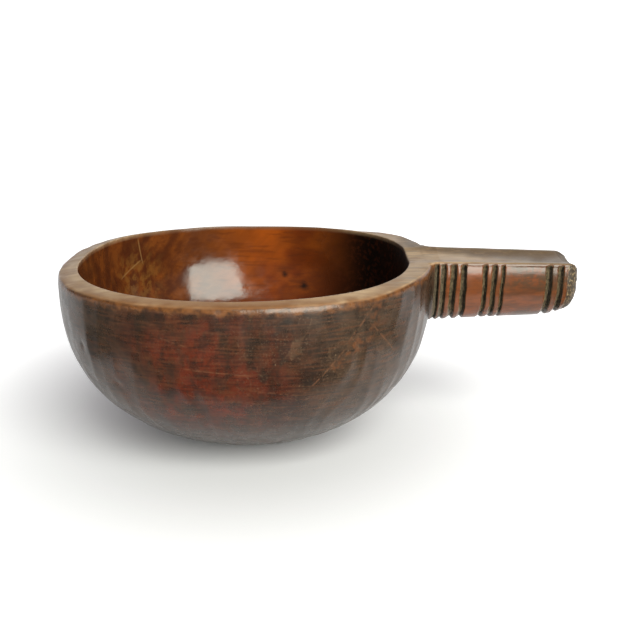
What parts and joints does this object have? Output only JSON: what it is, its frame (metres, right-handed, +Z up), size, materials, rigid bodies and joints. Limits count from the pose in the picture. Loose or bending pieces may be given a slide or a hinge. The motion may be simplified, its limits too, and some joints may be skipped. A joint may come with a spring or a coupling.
{
  "type": "kuksa wooden cup",
  "caption": "Round carved wooden drinking cup with a thick rim, a small flat foot and one straight side handle with a thumb trough and carved grooves.",
  "frame": {"origin": "centre of the flat foot that the cup stands on", "axes": "+X from the bowl towards the handle, +Z up out of the bowl, +Y to the left when looking along the handle from the bowl"},
  "size_m": [0.181, 0.13, 0.0667],
  "materials": {
    "bowl_wood": "aged, oiled and handled dark brown wood, satin",
    "handle_wood": "red-brown wood polished by handling, satin to glossy"
  },
  "bodies": {
    "root": {"bowl": "bowl_wood", "handle": "handle_wood"}
  },
  "joints": []
}
